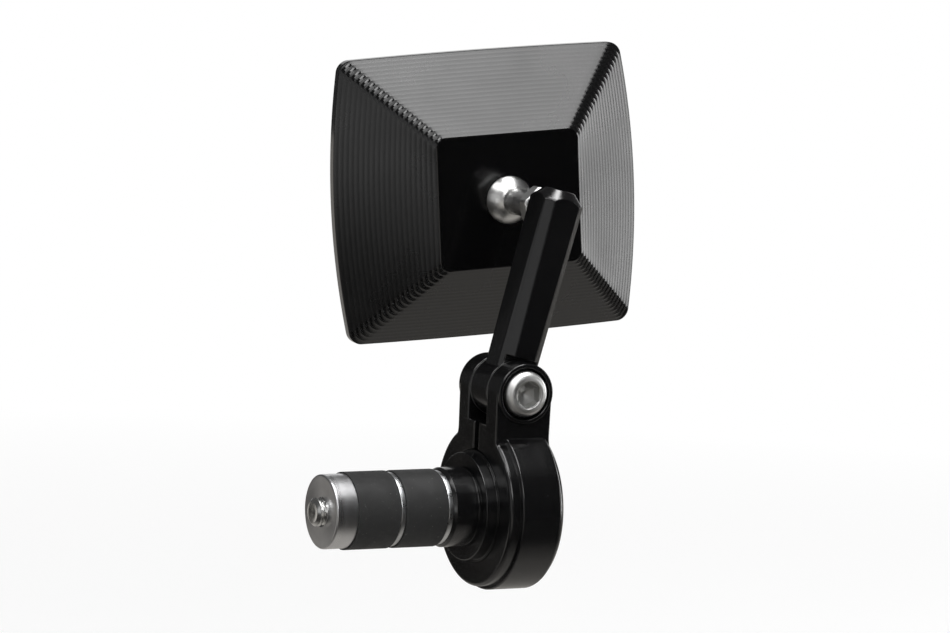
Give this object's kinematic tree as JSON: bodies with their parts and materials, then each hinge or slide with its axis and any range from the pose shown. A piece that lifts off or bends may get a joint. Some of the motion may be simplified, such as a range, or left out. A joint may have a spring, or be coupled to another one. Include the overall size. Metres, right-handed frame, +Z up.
{
  "type": "motorcycle bar end mirror",
  "caption": "Rear-view mirror with a faceted hollow metal head on a ball joint, carried by a faceted stalk and a split ring that clamps on an expanding handlebar end plug.",
  "frame": {"origin": "on the handlebar's axis, where the bar fitting's collar meets the end of the tube", "axes": "+X along the handlebar and outboard, +Y back to the rider, +Z up"},
  "size_m": [0.0916, 0.0593, 0.1148],
  "materials": {
    "black_anodised": "gloss black anodised, milled and turned",
    "ridged_anodised": "black anodised over fine cutter passes",
    "stainless_steel": "bright turned stainless steel",
    "zinc_steel": "zinc plated",
    "spring_steel": "oiled spring steel",
    "plain_aluminium": "turned, uncoated",
    "black_rubber": "moulded, matt",
    "black_plastic": "moulded acetal",
    "white_plastic": "moulded acetal",
    "black_foam": "adhesive foam",
    "mirror_glass": "convex silvered glass"
  },
  "bodies": {
    "fitting": {"bar_fitting": "black_anodised", "sleeve_washer": "zinc_steel", "outer_sleeve": "black_rubber", "sleeve_spacer": "zinc_steel", "inner_sleeve": "black_rubber", "wedge_nut": "plain_aluminium", "expander_screw": "stainless_steel", "spring_washer": "zinc_steel"},
    "clamp": {"ring_clamp": "black_anodised", "clamp_screw": "stainless_steel", "front_friction_washer": "black_plastic", "rear_friction_washer": "black_plastic"},
    "stalk": {"stalk": "black_anodised", "ball_stud": "stainless_steel"},
    "liner": {"friction_liner": "white_plastic"},
    "cup": {"pressure_cup": "zinc_steel"},
    "head": {"head_housing": "ridged_anodised", "disc_spring": "spring_steel", "retaining_ring": "plain_aluminium", "glass_pad": "black_foam", "mirror_glass": "mirror_glass"}
  },
  "joints": [
    {"name": "ring_turn", "type": "hinge", "parent": "fitting", "child": "clamp", "pos_m": [0.00915, 0, 0], "axis": [1, 0, 0], "continuous": true},
    {"name": "stalk_swing", "type": "hinge", "parent": "clamp", "child": "stalk", "pos_m": [0.00915, 0, 0.0252], "axis": [0, 1, 0], "range_deg": [-104.5, 75.5]},
    {"name": "head_pan", "type": "hinge", "parent": "stalk", "child": "liner", "pos_m": [0.01899, 0.0223, 0.06325], "axis": [0, 0, 1], "range_deg": [-12.5, 27.5]},
    {"name": "head_nod", "type": "hinge", "parent": "liner", "child": "cup", "pos_m": [0.01899, 0.0223, 0.06325], "axis": [0.9914, -0.1305, 0], "range_deg": [-20, 20]},
    {"name": "head_spin", "type": "hinge", "parent": "cup", "child": "head", "pos_m": [0.01899, 0.0223, 0.06325], "axis": [0.1305, 0.9914, 0], "continuous": true}
  ]
}
